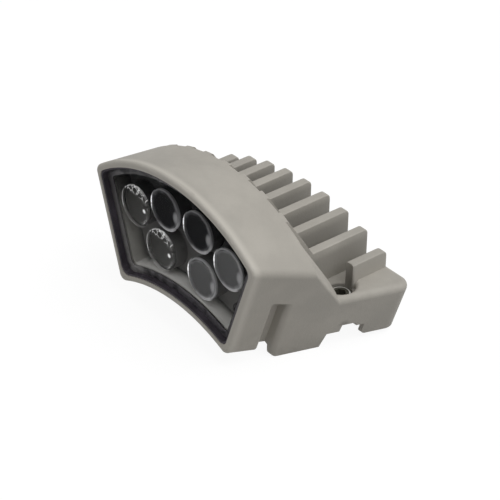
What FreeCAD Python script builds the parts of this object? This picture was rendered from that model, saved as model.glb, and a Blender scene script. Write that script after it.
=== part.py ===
import FreeCAD, Part
import math
import os

# Infrared illuminator: a finned cast housing with a curved window, six lenses and two screwed lugs.
# All sizes in millimetres. While the pieces are made, x is across the window, y goes back from the
# window plane and z goes up from the centre on which the lenses are laid out. At the end everything
# moves so that the origin is the middle of the footprint on the plane of the front feet.
# The casting's top is a cone along y, its end faces are planes that lean out upwards and flare out
# backwards, and its underside is an arc that saddles a round body.

V = FreeCAD.Vector
ALONG_Y = V(0, 1, 0)
UP = V(0, 0, 1)

# Lens layout: four lenses on an upper ring and two on a lower one
LENS_R = 10.8
LENS_PITCH = 2 * LENS_R + 2.27
LENS_ROWS = 2 * LENS_R + 0.4
LENS_TOP_MARGIN = 8.9
LENS_LOW_MARGIN = 7.9

# Window outline, at the outer edge of its black border, as high as two rows of lenses need
WIN_SADDLE = 23.0
WIN_CROWN = WIN_SADDLE + LENS_LOW_MARGIN + 2 * LENS_R + LENS_ROWS + LENS_TOP_MARGIN
WIN_TOP_R = 90.1
WIN_TOP_Z = WIN_CROWN - WIN_TOP_R
WIN_LOW_R = 91.5
WIN_LOW_Z = WIN_SADDLE - WIN_LOW_R
WIN_SIDE_X = 50.2
WIN_SIDE_Z = 50.0
WIN_LEAN = 0.34
WIN_CORNER = 4.5

# Casting
RIM = 3.1
RIM_FRONT = -0.8
RIM_EDGE = 1.7
SIDE_FLARE = 0.333
SIDE_START = 1.5
TOP_DRAFT = 0.094
HEAD_BACK = 30.6
RIDGE_EDGE = 4.0
SLOPE_EDGE = 1.2
SLOPE_RUN = 25.0
RIB_SET_BACK = 1.4
RIB_EDGE = 1.0
LOW_EDGE = 3.6
COLLAR_BACK = 14.0
GROOVE_WIDTH = 7.8
GROOVE_DEPTH = 6.3
GROOVE_TOP = 42.3
GROOVE_EDGE = 3.2
GROOVE_SLOPE = 0.34
COLLAR_EDGE = 0.9
REAR_SLOPE = 1.52
BODY_BACK = 83.8
SKIRT = 2.4
REAR_UNDER_R = 93.0

# Fins
FIN_COUNT = 9
FIN_PITCH = 13.4
FIN_THICK = 5.2
FIN_TIP_THICK = 4.6
FIN_TOP = 55.6
FIN_ARC_R = 126.0
FIN_BACK = 82.0
FIN_CORNER = 2.6
FIN_CREST = 0.6
CHANNEL_FRONT = 31.8
CHANNEL_FLOOR = 31.0

# Lugs and feet
LUG_TOP = 34.6
LUG_EDGE = 3.0
LUG_CORNER = 6.0
FOOT_Z = 3.0
FOOT_FRONT = COLLAR_BACK + GROOVE_WIDTH
FOOT_BACK = 45.0
FOOT_NOSE = 3.6
FOOT_INNER_X = 42.0
REAR_FOOT_Z = 6.2
REAR_FOOT_FRONT = 64.2
REAR_FOOT_INNER_X = 47.0
FOOT_EDGE = 2.2
SEAT_Z = 11.4
STEP_Z = 15.6
TOOTH_Z = 13.4
STEP_FRONT = 52.6
TOOTH_FRONT = 60.2

# Mounting screws
SCREW_X = FIN_PITCH * (FIN_COUNT - 1) / 2
SCREW_Y = 55.6
SCREW_R = 3.0
SCREW_LENGTH = 10.0
SCREW_HEAD_R = 5.0
SCREW_HEAD_H = 6.0
SCREW_HOLE_R = 3.3
SCREW_TOP_Z = 30.2
SOCKET_AF = 5.0
SOCKET_DEPTH = 3.2
RECESS_R = 7.0
RECESS_EDGE = 2.2
HEAD_BORE_R = 5.7
WASHER_R = 5.5
WASHER_T = 1.6

# Window stack, front to back
BEAD_WIDTH = 0.9
BEAD_PROUD = 0.25
GLASS_T = 3.0
MASK_T = 0.4
SEAL_T = 1.0
BORDER = 4.5
CAVITY_INSET = BORDER - 0.2
SEAL_WIDTH = CAVITY_INSET - 0.7
GLASS_BACK = GLASS_T
MASK_BACK = GLASS_BACK + MASK_T
LEDGE_Y = MASK_BACK + SEAL_T

# Lenses, holders and emitters
LENS_RING_LIFT = 6.7
LENS_RING_Z = WIN_TOP_Z + LENS_RING_LIFT
LENS_RING_TOP = WIN_CROWN - LENS_TOP_MARGIN - LENS_R - LENS_RING_Z
LENS_RING_LOW = LENS_RING_TOP - LENS_ROWS
LENS_STEP = 2 * math.asin(LENS_PITCH / 2 / LENS_RING_TOP)
LENS_FRONT = 4.5
LENS_RIM_T = 1.3
LENS_RIM_EDGE = 0.35
LENS_BODY_R = LENS_R - 1.8
LENS_FOOT_R = 4.6
LENS_FOOT_T = 0.6
LENS_WELL_R = 2.75
LENS_WELL = 3.2
LENS_NOTCH = 1.0
LENS_DISH = 0.3
LENS_BULGE = 0.9
HOLDER_R = LENS_R - 0.5
HOLDER_WALL = 1.1
BOARD_FRONT = 12.5
BOARD_T = 1.6
BOARD_GAP = 0.6
PAD_T = 0.5
LED_SIDE = 3.5
LED_BASE = 0.7
LED_DOME_R = 1.4
FLOOR_Y = BOARD_FRONT + BOARD_T + PAD_T

# Board screws, as half spacing across and distance inside the window's upper or lower arc
BOARD_SCREW_TOP = (24.5, 9.0)
BOARD_SCREW_LOW = (32.5, 10.8)
M3_R = 1.5
M3_CLEAR = 0.2
M3_HEAD_R = 2.75
M3_HEAD_H = 1.9
M3_LENGTH = 8.0
M3_SOCKET_AF = 2.0

# Driver pocket behind the board, and what is in it
POCKET_X = 9.0
POCKET_RISE = 5.0
POCKET_HEIGHT = 30.0
POCKET_LOW = WIN_SADDLE + POCKET_RISE
POCKET_HIGH = POCKET_LOW + POCKET_HEIGHT
POCKET_DEPTH = 9.4
POCKET_BACK = FLOOR_Y + POCKET_DEPTH
POCKET_GAP = 1.0
DRIVER_T = 1.2
DRIVER_STAND = 1.6
POST_R = 2.4
POST_INSET = 4.0
M2_R = 1.0
M2_HEAD_R = 1.9
M2_HEAD_H = 1.3
M2_LENGTH = 4.0
M2_SOCKET_AF = 1.3
CHIP = (5.0, 1.6, 6.0)
COIL = (7.0, 4.2, 7.0)
CAPACITOR_R = 1.6
CAPACITOR_L = 4.4
CAPACITOR_DROP = 3.2
LINK = (5.0, 3.0)
LINK_RISE = 8.0
CHIP_RISE = 4.0
COIL_DROP = 1.0

# Lead inlet on the underside
INLET_R = 4.0
INLET_Y = FLOOR_Y + INLET_R + 0.6
INLET_FLANGE_R = 5.6
INLET_FLANGE_T = 1.5
INLET_RING_T = 0.6
INLET_BORE_R = 2.6
LEAD_R = 2.0

# Reach of cutting tools: past a face, over the top and beyond the whole casting
PAST = RIM_EDGE * 3
OVER = WIN_CROWN + 4 * RIM
FAR = 2 * WIN_TOP_R

LEAN_ANGLE = math.atan(WIN_LEAN)
FOOTPRINT_Y = (RIM_FRONT + BODY_BACK) / 2


def box(x0, x1, y0, y1, z0, z1):
    return Part.makeBox(x1 - x0, y1 - y0, z1 - z0, V(x0, y0, z0))


def rod(r, x, y, z, length, direction):
    return Part.makeCylinder(r, length, V(x, y, z), direction)


def both_sides(shape):
    """The shape and its mirror image across the middle plane."""
    return [shape, shape.mirror(V(0, 0, 0), V(1, 0, 0))]


def joined(shapes):
    whole = shapes[0].fuse(shapes[1:]) if len(shapes) > 1 else shapes[0]
    return whole.removeSplitter()


def side_x(y, z, inset=0.0):
    """Half width of the casting's end face at a depth y and height z."""
    at_front = WIN_SIDE_X + RIM / math.cos(LEAN_ANGLE)
    return at_front + WIN_LEAN * (z - WIN_SIDE_Z) + SIDE_FLARE * (y - SIDE_START) - inset


def between_sides(y0, y1, z0, z1, inset=0.0):
    """Solid between the two leaning, flaring end faces, from y0 to y1 and z0 to z1."""
    outlines = []
    for y in (y0, y1):
        low = side_x(y, z0, inset)
        high = side_x(y, z1, inset)
        outlines.append([V(-low, y, z0), V(low, y, z0), V(high, y, z1), V(-high, y, z1)])
    return planar_solid(*outlines)


def planar_solid(front, back):
    """Solid with flat faces between two outlines whose corners answer each other."""
    faces = [Part.Face(Part.makePolygon(outline + outline[:1])) for outline in (front, back)]
    for k in range(len(front)):
        a, b, c, d = front[k - 1], front[k], back[k], back[k - 1]
        faces.append(Part.Face(Part.makePolygon([a, b, c, d, a])))
    shell = Part.makeShell(faces)
    shell.sewShape()
    solid = Part.Solid(shell)
    if solid.Volume < 0:
        solid.reverse()
    return solid


def edges_where(shape, test):
    """Edges whose ends and middle all satisfy the test."""
    found = []
    for edge in shape.Edges:
        first, last = edge.ParameterRange
        points = [edge.valueAt(first + (last - first) * k) for k in (0.08, 0.5, 0.92)]
        if all(test(p) for p in points):
            found.append(edge)
    return found


def rounded(shape, radius, test):
    edges = edges_where(shape, test)
    return shape.makeFillet(radius, edges) if edges else shape


def window_plate(inset, y0, y1, corner):
    """Window outline moved inwards by inset and given a thickness from y0 to y1."""
    depth = y1 - y0
    top = rod(WIN_TOP_R - inset, 0, y0, WIN_TOP_Z, depth, ALONG_Y)
    low = rod(WIN_LOW_R + inset, 0, y0 - 1, WIN_LOW_Z, depth + 2, ALONG_Y)
    wire = []
    for z in (0.0, OVER):
        x = WIN_SIDE_X - inset / math.cos(LEAN_ANGLE) + WIN_LEAN * (z - WIN_SIDE_Z)
        wire.append((x, z))
    (x0, z0), (x1, z1) = wire
    points = [V(-x0, y0, z0), V(x0, y0, z0), V(x1, y0, z1), V(-x1, y0, z1)]
    prism = Part.Face(Part.makePolygon(points + points[:1])).extrude(V(0, depth, 0))
    plate = prism.common(top).cut(low)
    if corner > 0.2:
        plate = rounded(plate, corner, lambda p: on_corner(p, inset))
    return plate


def on_corner(p, inset):
    """True on the four edges where an arc of the window outline meets a leaning side."""
    side = WIN_SIDE_X - inset / math.cos(LEAN_ANGLE) + WIN_LEAN * (p.z - WIN_SIDE_Z)
    on_side = abs(abs(p.x) - side) < 0.02
    on_top = abs(math.hypot(p.x, p.z - WIN_TOP_Z) - WIN_TOP_R + inset) < 0.02
    on_low = abs(math.hypot(p.x, p.z - WIN_LOW_Z) - WIN_LOW_R - inset) < 0.02
    return on_side and (on_top or on_low)


def window_ring(outer, inner, y0, y1):
    """Frame between two insets of the window outline."""
    outside = window_plate(outer, y0, y1, WIN_CORNER - outer * 0.5)
    inside = window_plate(inner, y0 - 1, y1 + 1, max(WIN_CORNER - inner * 0.5, 1.5))
    return outside.cut(inside)


def top_radius(y):
    """Radius of the head's curved top at a depth y."""
    return WIN_TOP_R + RIM - TOP_DRAFT * (y - SIDE_START)


def head_block(y1):
    """Head between its end faces and under the drafted curved top, back to the depth y1."""
    cone = Part.makeCone(top_radius(RIM_FRONT), top_radius(y1), y1 - RIM_FRONT,
                         V(0, RIM_FRONT, WIN_TOP_Z), ALONG_Y)
    return between_sides(RIM_FRONT, y1, -PAST, OVER).common(cone)


def sloping_disc(y0):
    """Disc of the top's arc at y0, swept back and down along the slope."""
    circle = Part.Wire(Part.makeCircle(top_radius(y0), V(0, y0, WIN_TOP_Z), ALONG_Y))
    return Part.Face(circle).extrude(V(0, SLOPE_RUN, -REAR_SLOPE * SLOPE_RUN))


def rear_wedge(y0):
    """Sloping back of the head: the top's arc at y0 carried down and back in a straight line."""
    return sloping_disc(y0).common(between_sides(y0, y0 + SLOPE_RUN, CHANNEL_FLOOR - RIM, OVER))


def fin_x(k):
    return (k - (FIN_COUNT - 1) / 2) * FIN_PITCH


def fin_top(x):
    return FIN_TOP - FIN_ARC_R + math.sqrt(FIN_ARC_R ** 2 - x * x)


def outer_channel_x():
    """Outer edge of the last channel, which is also the inner face of the end fin."""
    return fin_x(FIN_COUNT - 1) - FIN_THICK / 2


def fin(k):
    """One upright fin, thinner at its rear edge, with its upper rear corner and its crest rounded."""
    x = fin_x(k)
    top = fin_top(x)
    low = CHANNEL_FLOOR - RIM
    y0 = SCREW_Y if k in (0, FIN_COUNT - 1) else HEAD_BACK
    thin = (FIN_THICK - FIN_TIP_THICK) / 2 * (FIN_BACK - y0) / (FIN_BACK - HEAD_BACK)
    back = FIN_TIP_THICK / 2
    front = back + thin
    points = [V(x - front, y0, low), V(x + front, y0, low),
              V(x + back, FIN_BACK, low), V(x - back, FIN_BACK, low)]
    block = Part.Face(Part.makePolygon(points + points[:1])).extrude(V(0, 0, top - low))
    block = rounded(block, FIN_CORNER, lambda p: abs(p.z - top) < 0.01 and abs(p.y - FIN_BACK) < 0.01)
    return block.makeFillet(FIN_CREST, [e for e in block.Edges if on_crest(e, top, y0)])


def on_crest(edge, top, y0):
    """Long upper edges of a fin, and the arcs that carry them round its rear corner."""
    first, last = edge.ParameterRange
    p = edge.valueAt((first + last) / 2)
    ends = [v.Point for v in edge.Vertexes]
    across = abs(ends[0].x - ends[-1].x) > FIN_TIP_THICK / 2
    return p.z > top - FIN_CORNER - 0.01 and not across and p.y > y0 + 0.01


def rib(k):
    """Fin's root, which climbs the sloping back and ends in a small shoulder behind the head's edge."""
    y1 = HEAD_BACK + RIB_SET_BACK
    x = fin_x(k)
    slab = box(x - FIN_THICK / 2, x + FIN_THICK / 2, HEAD_BACK - RIDGE_EDGE, FIN_BACK, CHANNEL_FLOOR - RIM, OVER)
    piece = joined([head_block(y1), rear_wedge(y1)]).common(slab)
    return rounded(piece, RIB_EDGE, lambda p: abs(p.y - y1) < 0.01 and on_top(p))


def on_slope(p):
    """True on the sloping back of the head, but for its lower and rear ends."""
    z = p.z + REAR_SLOPE * (p.y - HEAD_BACK)
    inside = HEAD_BACK - 0.01 < p.y < HEAD_BACK + SLOPE_RUN - 0.1 and p.z > CHANNEL_FLOOR - RIM + 0.1
    return inside and abs(math.hypot(p.x, z - WIN_TOP_Z) - top_radius(HEAD_BACK)) < 0.03


def on_top(p):
    """True on the head's drafted curved top."""
    return abs(math.hypot(p.x, p.z - WIN_TOP_Z) - top_radius(p.y)) < 0.03


def on_underside(p):
    """True on the arc under the collar and head."""
    return abs(math.hypot(p.x, p.z - WIN_LOW_Z) - WIN_LOW_R + RIM) < 0.03


def on_side(p):
    """True on either leaning, flaring end face."""
    return abs(abs(p.x) - side_x(p.y, p.z)) < 0.02


def head_shell():
    """Head and its sloping back as one block with rounded ridges, less the channels between the fins."""
    arc = rod(WIN_LOW_R - RIM, 0, -PAST, WIN_LOW_Z, FAR, ALONG_Y)
    front = box(-FAR, FAR, -PAST, HEAD_BACK, -FAR, FAR)
    base = box(-FAR, FAR, HEAD_BACK, FAR, CHANNEL_FLOOR - RIM, FAR)
    block = rounded(head_block(HEAD_BACK + SLOPE_RUN), RIDGE_EDGE, lambda p: on_side(p) and on_top(p))
    head = block.common(front.fuse(sloping_disc(HEAD_BACK))).common(front.fuse(base)).cut(arc)
    head = rounded(head, LOW_EDGE, lambda p: on_side(p) and on_underside(p))
    head = rounded(head, SLOPE_EDGE, on_slope)
    head = rounded(head, RIM_EDGE, lambda p: abs(p.y - RIM_FRONT) < 0.01)
    for k in range(FIN_COUNT - 1):
        head = head.cut(channel(k))
    return rounded(head, SLOPE_EDGE, lambda p: on_slope(p) and abs(abs(p.x) - outer_channel_x()) < 0.01)


def channel(k):
    """Space between fin k and the next, from the head's back to the open rear."""
    left = fin_x(k) + FIN_THICK / 2
    right = fin_x(k + 1) - FIN_THICK / 2
    return box(left, right, CHANNEL_FRONT, FIN_BACK + PAST, CHANNEL_FLOOR, OVER)


def lug_profile():
    """Side view of the lower body behind the groove, from the front foot to the rear foot."""
    points = [(FOOT_FRONT, FOOT_Z), (FOOT_BACK, FOOT_Z), (FOOT_BACK + 1.6, SEAT_Z), (STEP_FRONT, SEAT_Z),
              (STEP_FRONT + 0.4, STEP_Z), (TOOTH_FRONT - 1.0, STEP_Z), (TOOTH_FRONT, TOOTH_Z),
              (REAR_FOOT_FRONT, TOOTH_Z), (REAR_FOOT_FRONT, REAR_FOOT_Z), (BODY_BACK, REAR_FOOT_Z),
              (BODY_BACK, LUG_TOP), (FOOT_FRONT, LUG_TOP)]
    wire = Part.makePolygon([V(-FAR / 2, y, z) for y, z in points + points[:1]])
    return Part.Face(wire).extrude(V(FAR, 0, 0))


def lower_body():
    """Base and lugs: the side view cut between the end faces, with rounded outer edges."""
    body = lug_profile().common(between_sides(FOOT_FRONT, BODY_BACK, -PAST, LUG_TOP + PAST))
    body = rounded(body, LUG_CORNER, lambda p: abs(p.y - BODY_BACK) < 0.01 and on_side(p))
    body = rounded(body, LUG_EDGE, lambda p: abs(p.z - LUG_TOP) < 0.01 and p.y > FOOT_FRONT + 0.5)
    body = rounded(body, FOOT_NOSE, lambda p: abs(p.z - FOOT_Z) < 0.01 and abs(p.y - FOOT_FRONT) < 0.01)
    return rounded(body, FOOT_EDGE, on_rear_foot)


def on_rear_foot(p):
    """True on the front edge of the rear feet's underside."""
    return abs(p.y - REAR_FOOT_FRONT) < 0.01 and abs(p.z - REAR_FOOT_Z) < 0.01


def groove():
    """Upright groove on one end face, open at the bottom, its rear outer edge rounded and its top sloping."""
    low, high = -2 * PAST, GROOVE_TOP + 2 * PAST
    back = FOOT_FRONT + 3 * GROOVE_EDGE
    outline = [(side_x(COLLAR_BACK, low, GROOVE_DEPTH), COLLAR_BACK),
               (side_x(FOOT_FRONT, low, GROOVE_DEPTH), FOOT_FRONT),
               (side_x(FOOT_FRONT, low), FOOT_FRONT),
               (side_x(back, low), back), (FAR / 2, back), (FAR / 2, COLLAR_BACK)]
    face = Part.Face(Part.makePolygon([V(x, y, low) for x, y in outline + outline[:1]]))
    slot = face.extrude(V(WIN_LEAN * (high - low), 0, high - low))
    slot = rounded(slot, GROOVE_EDGE, lambda p: abs(p.y - FOOT_FRONT) < 0.01 and on_side(p))
    drop = GROOVE_SLOPE * (back - COLLAR_BACK)
    roof = [V(0, COLLAR_BACK, GROOVE_TOP), V(0, back, GROOVE_TOP - drop), V(0, back, OVER), V(0, COLLAR_BACK, OVER)]
    return slot.cut(Part.Face(Part.makePolygon(roof + roof[:1])).extrude(V(FAR, 0, 0)))


def on_collar_end(p):
    """True on the collar's rear edges: up along each groove and round under the collar's end."""
    return abs(p.y - COLLAR_BACK) < 0.01 and abs(p.x) > side_x(p.y, p.z, GROOVE_DEPTH - 0.1)


def screw_seat():
    return SCREW_TOP_Z - SCREW_HEAD_H - WASHER_T


def screw_hole():
    """Way down past the fin's end and through a lug: bore for head and washer, then clearance hole."""
    bore = rod(HEAD_BORE_R, SCREW_X, SCREW_Y, screw_seat(), FIN_TOP, UP)
    return bore.fuse(rod(SCREW_HOLE_R, SCREW_X, SCREW_Y, 0, FIN_TOP, UP))


def screw_recess():
    """Round recess in a lug's top, level with the channels' floor, with a rounded mouth."""
    low = LUG_TOP - RECESS_EDGE
    mouth_r = RECESS_R + RECESS_EDGE
    mouth = rod(mouth_r, SCREW_X, SCREW_Y, low, RECESS_EDGE, UP)
    mouth = mouth.cut(Part.makeTorus(mouth_r, RECESS_EDGE, V(SCREW_X, SCREW_Y, low), UP))
    return rod(RECESS_R, SCREW_X, SCREW_Y, CHANNEL_FLOOR, FIN_TOP, UP).fuse(mouth)


def under_cut():
    """Hollow underside: an arc under collar and head, a larger one under the rear, and the thin skirt."""
    front_r = WIN_LOW_R - RIM
    front = rod(front_r, 0, -PAST, WIN_LOW_Z, FOOT_FRONT + PAST, ALONG_Y)
    middle = rod(front_r, 0, FOOT_FRONT, WIN_LOW_Z, FOOT_BACK + 1 - FOOT_FRONT, ALONG_Y)
    middle = middle.common(box(-FOOT_INNER_X, FOOT_INNER_X, 0, FAR, -FAR, FAR))
    rear = rod(REAR_UNDER_R, 0, FOOT_BACK + 1, WIN_LOW_Z, FAR, ALONG_Y)
    seats = box(-FAR, FAR, FOOT_BACK, REAR_FOOT_FRONT, -FAR, FAR)
    feet = box(-REAR_FOOT_INNER_X, REAR_FOOT_INNER_X, FOOT_BACK, FAR, -FAR, FAR)
    skirt = between_sides(REAR_FOOT_FRONT - 1, BODY_BACK - SKIRT, -4 * PAST, TOOTH_Z, SKIRT)
    return [front, middle, rear.common(seats), rear.common(feet), skirt]


def board_screw_places():
    """Centres of the four board screws, two under the window's upper arc and two over the lower one."""
    top_x, top_inset = BOARD_SCREW_TOP
    low_x, low_inset = BOARD_SCREW_LOW
    top_z = WIN_TOP_Z + math.sqrt((WIN_TOP_R - top_inset) ** 2 - top_x ** 2)
    low_z = WIN_LOW_Z + math.sqrt((WIN_LOW_R + low_inset) ** 2 - low_x ** 2)
    return [(s * x, z) for x, z in ((top_x, top_z), (low_x, low_z)) for s in (1, -1)]


def inlet_face():
    """Height of the flat faced on the hollow underside for the inlet bush's sealing ring."""
    return WIN_LOW_Z + WIN_LOW_R - RIM + INLET_FLANGE_T + INLET_RING_T


def inside_cuts():
    """Window recess, lens chamber, driver pocket, lead inlet and screw holes of the casting."""
    cuts = [window_plate(0, RIM_FRONT - PAST, LEDGE_Y, WIN_CORNER),
            window_plate(CAVITY_INSET, LEDGE_Y - 1, FLOOR_Y, WIN_CORNER - 1),
            box(-POCKET_X, POCKET_X, FLOOR_Y - 1, POCKET_BACK, POCKET_LOW, POCKET_HIGH),
            rod(INLET_R, 0, INLET_Y, 0, POCKET_LOW + 1, UP),
            rod(INLET_FLANGE_R + 0.3, 0, INLET_Y, 0, inlet_face(), UP)]
    for x, z in board_screw_places():
        cuts.append(rod(M3_R, x, FLOOR_Y - 1, z, M3_LENGTH, ALONG_Y))
    return cuts


def driver_screw_heights():
    return (POCKET_LOW + POCKET_GAP + 1 + POST_INSET, POCKET_HIGH - POCKET_GAP - POST_INSET)


def driver_posts():
    """Two small posts on the pocket's back wall that carry the driver board."""
    posts = []
    for z in driver_screw_heights():
        post = rod(POST_R, 0, POCKET_BACK - DRIVER_STAND, z, DRIVER_STAND + 1, ALONG_Y)
        posts.append(post)
    return posts


def housing():
    """The casting: head, sloping back, fins, base, lugs and feet, less everything cut into it."""
    head = head_shell()
    body = lower_body()
    for tool in under_cut():
        body = body.cut(tool)
    top = box(-outer_channel_x(), outer_channel_x(), HEAD_BACK, FAR, CHANNEL_FLOOR, FAR)
    whole = joined([head, body.cut(top)])
    for tool in both_sides(groove()) + both_sides(screw_recess()):
        whole = whole.cut(tool)
    whole = rounded(whole, COLLAR_EDGE, on_collar_end)
    whole = joined([whole] + [rib(k) for k in range(1, FIN_COUNT - 1)])
    whole = joined([whole] + [fin(k) for k in range(FIN_COUNT)])
    for tool in both_sides(screw_hole()):
        whole = whole.cut(tool)
    for tool in inside_cuts():
        whole = whole.cut(tool)
    whole = joined([whole] + driver_posts())
    for z in driver_screw_heights():
        whole = whole.cut(rod(M2_R, 0, POCKET_BACK - DRIVER_STAND - 1, z, M2_LENGTH, ALONG_Y))
    return whole


def hexagon(af, x, y, z, depth, along):
    """Hexagonal bar of a given width across flats, extruded along +y or +z."""
    r = af / math.sqrt(3)
    points = []
    for k in range(7):
        a = math.radians(60 * k + 30)
        u, v = r * math.cos(a), r * math.sin(a)
        points.append(V(x + u, y, z + v) if along is ALONG_Y else V(x + u, y + v, z))
    return Part.Face(Part.makePolygon(points)).extrude(along * depth)


def window_glass():
    return window_plate(BEAD_WIDTH, 0, GLASS_BACK, WIN_CORNER - BEAD_WIDTH / 2)


def glazing_bead():
    """Thin bead that fills the gap between pane and casting, its front edges rounded."""
    ring = window_ring(0, BEAD_WIDTH, -BEAD_PROUD, MASK_BACK)
    return ring.makeChamfer(BEAD_PROUD * 0.8, edges_where(ring, lambda p: abs(p.y + BEAD_PROUD) < 0.01))


def window_mask():
    return window_ring(BEAD_WIDTH, BORDER, GLASS_BACK, MASK_BACK)


def window_seal():
    return window_ring(0, SEAL_WIDTH, MASK_BACK, LEDGE_Y)


def lens_places():
    """Centres of the six lenses: four on the upper ring, two on the lower one."""
    places = []
    for ring, steps in ((LENS_RING_TOP, (-1.5, -0.5, 0.5, 1.5)), (LENS_RING_LOW, (-1, 1))):
        for k in steps:
            a = k * LENS_STEP
            places.append((ring * math.sin(a), LENS_RING_Z + ring * math.cos(a)))
    return places


def lens(x, z):
    """Collimating lens: dished front, thin rim with two notches, bowed cone, foot and emitter well."""
    rim_back = LENS_FRONT + LENS_RIM_T
    foot = BOARD_FRONT - LENS_FOOT_T
    dish = LENS_FRONT + LENS_DISH
    well = BOARD_FRONT - LENS_WELL
    front = [(LENS_FOOT_R, foot), (LENS_FOOT_R, BOARD_FRONT), (LENS_WELL_R, BOARD_FRONT),
             (LENS_WELL_R, well), (0, well), (0, dish), (LENS_BODY_R, dish),
             (LENS_BODY_R + LENS_DISH, LENS_FRONT), (LENS_R - LENS_RIM_EDGE, LENS_FRONT),
             (LENS_R, LENS_FRONT + LENS_RIM_EDGE), (LENS_R, rim_back), (LENS_BODY_R, rim_back)]
    middle = ((LENS_BODY_R + LENS_FOOT_R) / 2 + LENS_BULGE, (rim_back + foot) / 2)
    outline = Part.makePolygon([V(u, y, 0) for u, y in front + [middle, front[0]]])
    body = Part.Face(outline).revolve(V(0, 0, 0), ALONG_Y, 360)
    for a in (math.radians(135), math.radians(-45)):
        u, v = LENS_R * math.cos(a), LENS_R * math.sin(a)
        body = body.cut(rod(LENS_NOTCH, u, LENS_FRONT - 1, v, LENS_RIM_T + 1, ALONG_Y))
    body.translate(V(x, 0, z))
    return body


def holder(x, z):
    """Open black cup that stands on the board and carries the lens by its rim."""
    rim_back = LENS_FRONT + LENS_RIM_T
    depth = BOARD_FRONT - rim_back
    cup = rod(HOLDER_R, x, rim_back, z, depth, ALONG_Y)
    return cup.cut(rod(HOLDER_R - HOLDER_WALL, x, rim_back - 1, z, depth + 2, ALONG_Y))


def emitter(x, z):
    """Infrared emitter: square base with a clear dome, facing the window."""
    half = LED_SIDE / 2
    front = BOARD_FRONT - LED_BASE
    base = box(x - half, x + half, front, BOARD_FRONT, z - half, z + half)
    dome = Part.makeSphere(LED_DOME_R, V(x, front, z))
    return base.fuse(dome.common(box(x - 5, x + 5, front - 5, front + 0.1, z - 5, z + 5))).removeSplitter()


def led_board():
    """Board that closes the back of the chamber, with clearance for its four screws."""
    plate = window_plate(CAVITY_INSET + BOARD_GAP, BOARD_FRONT, BOARD_FRONT + BOARD_T, WIN_CORNER - 1.5)
    for x, z in board_screw_places():
        plate = plate.cut(rod(M3_R + M3_CLEAR, x, BOARD_FRONT - 1, z, PAST, ALONG_Y))
    return plate


def thermal_pad():
    """Pad between board and casting, cut out over the driver pocket."""
    y0 = BOARD_FRONT + BOARD_T
    plate = window_plate(CAVITY_INSET + 2 * BOARD_GAP, y0, FLOOR_Y, WIN_CORNER - 2)
    plate = plate.cut(box(-POCKET_X, POCKET_X, y0 - 1, FLOOR_Y + 1, POCKET_LOW, POCKET_HIGH))
    for x, z in board_screw_places():
        plate = plate.cut(rod(M3_R + 2 * M3_CLEAR, x, y0 - 1, z, PAST, ALONG_Y))
    return plate


def small_screw(r, head_r, head_h, length, x, y, z, af):
    """Button headed screw along +y, its head in front of y, with a hexagonal socket."""
    head = rod(head_r, x, y - head_h, z, head_h, ALONG_Y)
    head = head.makeChamfer(head_h * 0.4, edges_where(head, lambda p: abs(p.y - y + head_h) < 0.01))
    body = head.fuse(rod(r, x, y, z, length, ALONG_Y)).removeSplitter()
    return body.cut(hexagon(af, x, y - head_h - 0.5, z, 0.5 + head_h * 0.6, ALONG_Y))


def board_screws():
    length = M3_LENGTH + BOARD_T + PAD_T - 1.5
    return [small_screw(M3_R, M3_HEAD_R, M3_HEAD_H, length, x, BOARD_FRONT, z, M3_SOCKET_AF)
            for x, z in board_screw_places()]


def driver_faces():
    """Front and back planes of the driver board."""
    back = POCKET_BACK - DRIVER_STAND
    return back - DRIVER_T, back


def driver_board():
    front, back = driver_faces()
    plate = box(-POCKET_X + POCKET_GAP, POCKET_X - POCKET_GAP, front, back,
                POCKET_LOW + POCKET_GAP + 1, POCKET_HIGH - POCKET_GAP)
    for z in driver_screw_heights():
        plate = plate.cut(rod(M2_R + 0.1, 0, front - 1, z, PAST, ALONG_Y))
    return plate


def on_driver(size, x, z):
    """Block of the given width, thickness and height on the driver board's front face."""
    front = driver_faces()[0]
    w, t, h = size
    return box(x - w / 2, x + w / 2, front - t, front, z - h / 2, z + h / 2)


def middle_z():
    return (POCKET_LOW + POCKET_HIGH) / 2


def driver_chip():
    return on_driver(CHIP, -POCKET_X * 0.42, middle_z() + CHIP_RISE)


def driver_coil():
    block = on_driver(COIL, POCKET_X * 0.38, middle_z() - COIL_DROP)
    return rounded(block, 0.9, lambda p: is_upright_corner(p, block))


def is_upright_corner(p, block):
    """True on the four edges of a block that run along y."""
    b = block.BoundBox
    on_x = min(abs(p.x - b.XMin), abs(p.x - b.XMax)) < 0.01
    return on_x and min(abs(p.z - b.ZMin), abs(p.z - b.ZMax)) < 0.01


def driver_capacitors():
    front = driver_faces()[0]
    return [rod(CAPACITOR_R, x, front - CAPACITOR_L, middle_z() - CAPACITOR_DROP, CAPACITOR_L, ALONG_Y)
            for x in (-POCKET_X * 0.62, -POCKET_X * 0.21)]


def driver_link():
    """Plug that joins the driver board to the back of the lens board."""
    front = driver_faces()[0]
    reach = front - BOARD_FRONT - BOARD_T
    return on_driver((LINK[0], reach, LINK[1]), POCKET_X * 0.5, middle_z() + LINK_RISE)


def driver_screws():
    front = driver_faces()[0]
    length = M2_LENGTH - 1 + DRIVER_T - 0.4
    return [small_screw(M2_R, M2_HEAD_R, M2_HEAD_H, length, 0, front, z, M2_SOCKET_AF)
            for z in driver_screw_heights()]


def inlet_bush():
    """Flanged bush screwed up into the underside, with the lead's bore through it."""
    face = inlet_face() - INLET_RING_T
    body = rod(INLET_R, 0, INLET_Y, face, POCKET_LOW - face, UP)
    flange = rod(INLET_FLANGE_R, 0, INLET_Y, face - INLET_FLANGE_T, INLET_FLANGE_T, UP)
    return body.fuse(flange).removeSplitter().cut(rod(INLET_BORE_R, 0, INLET_Y, 0, FAR, UP))


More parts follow.
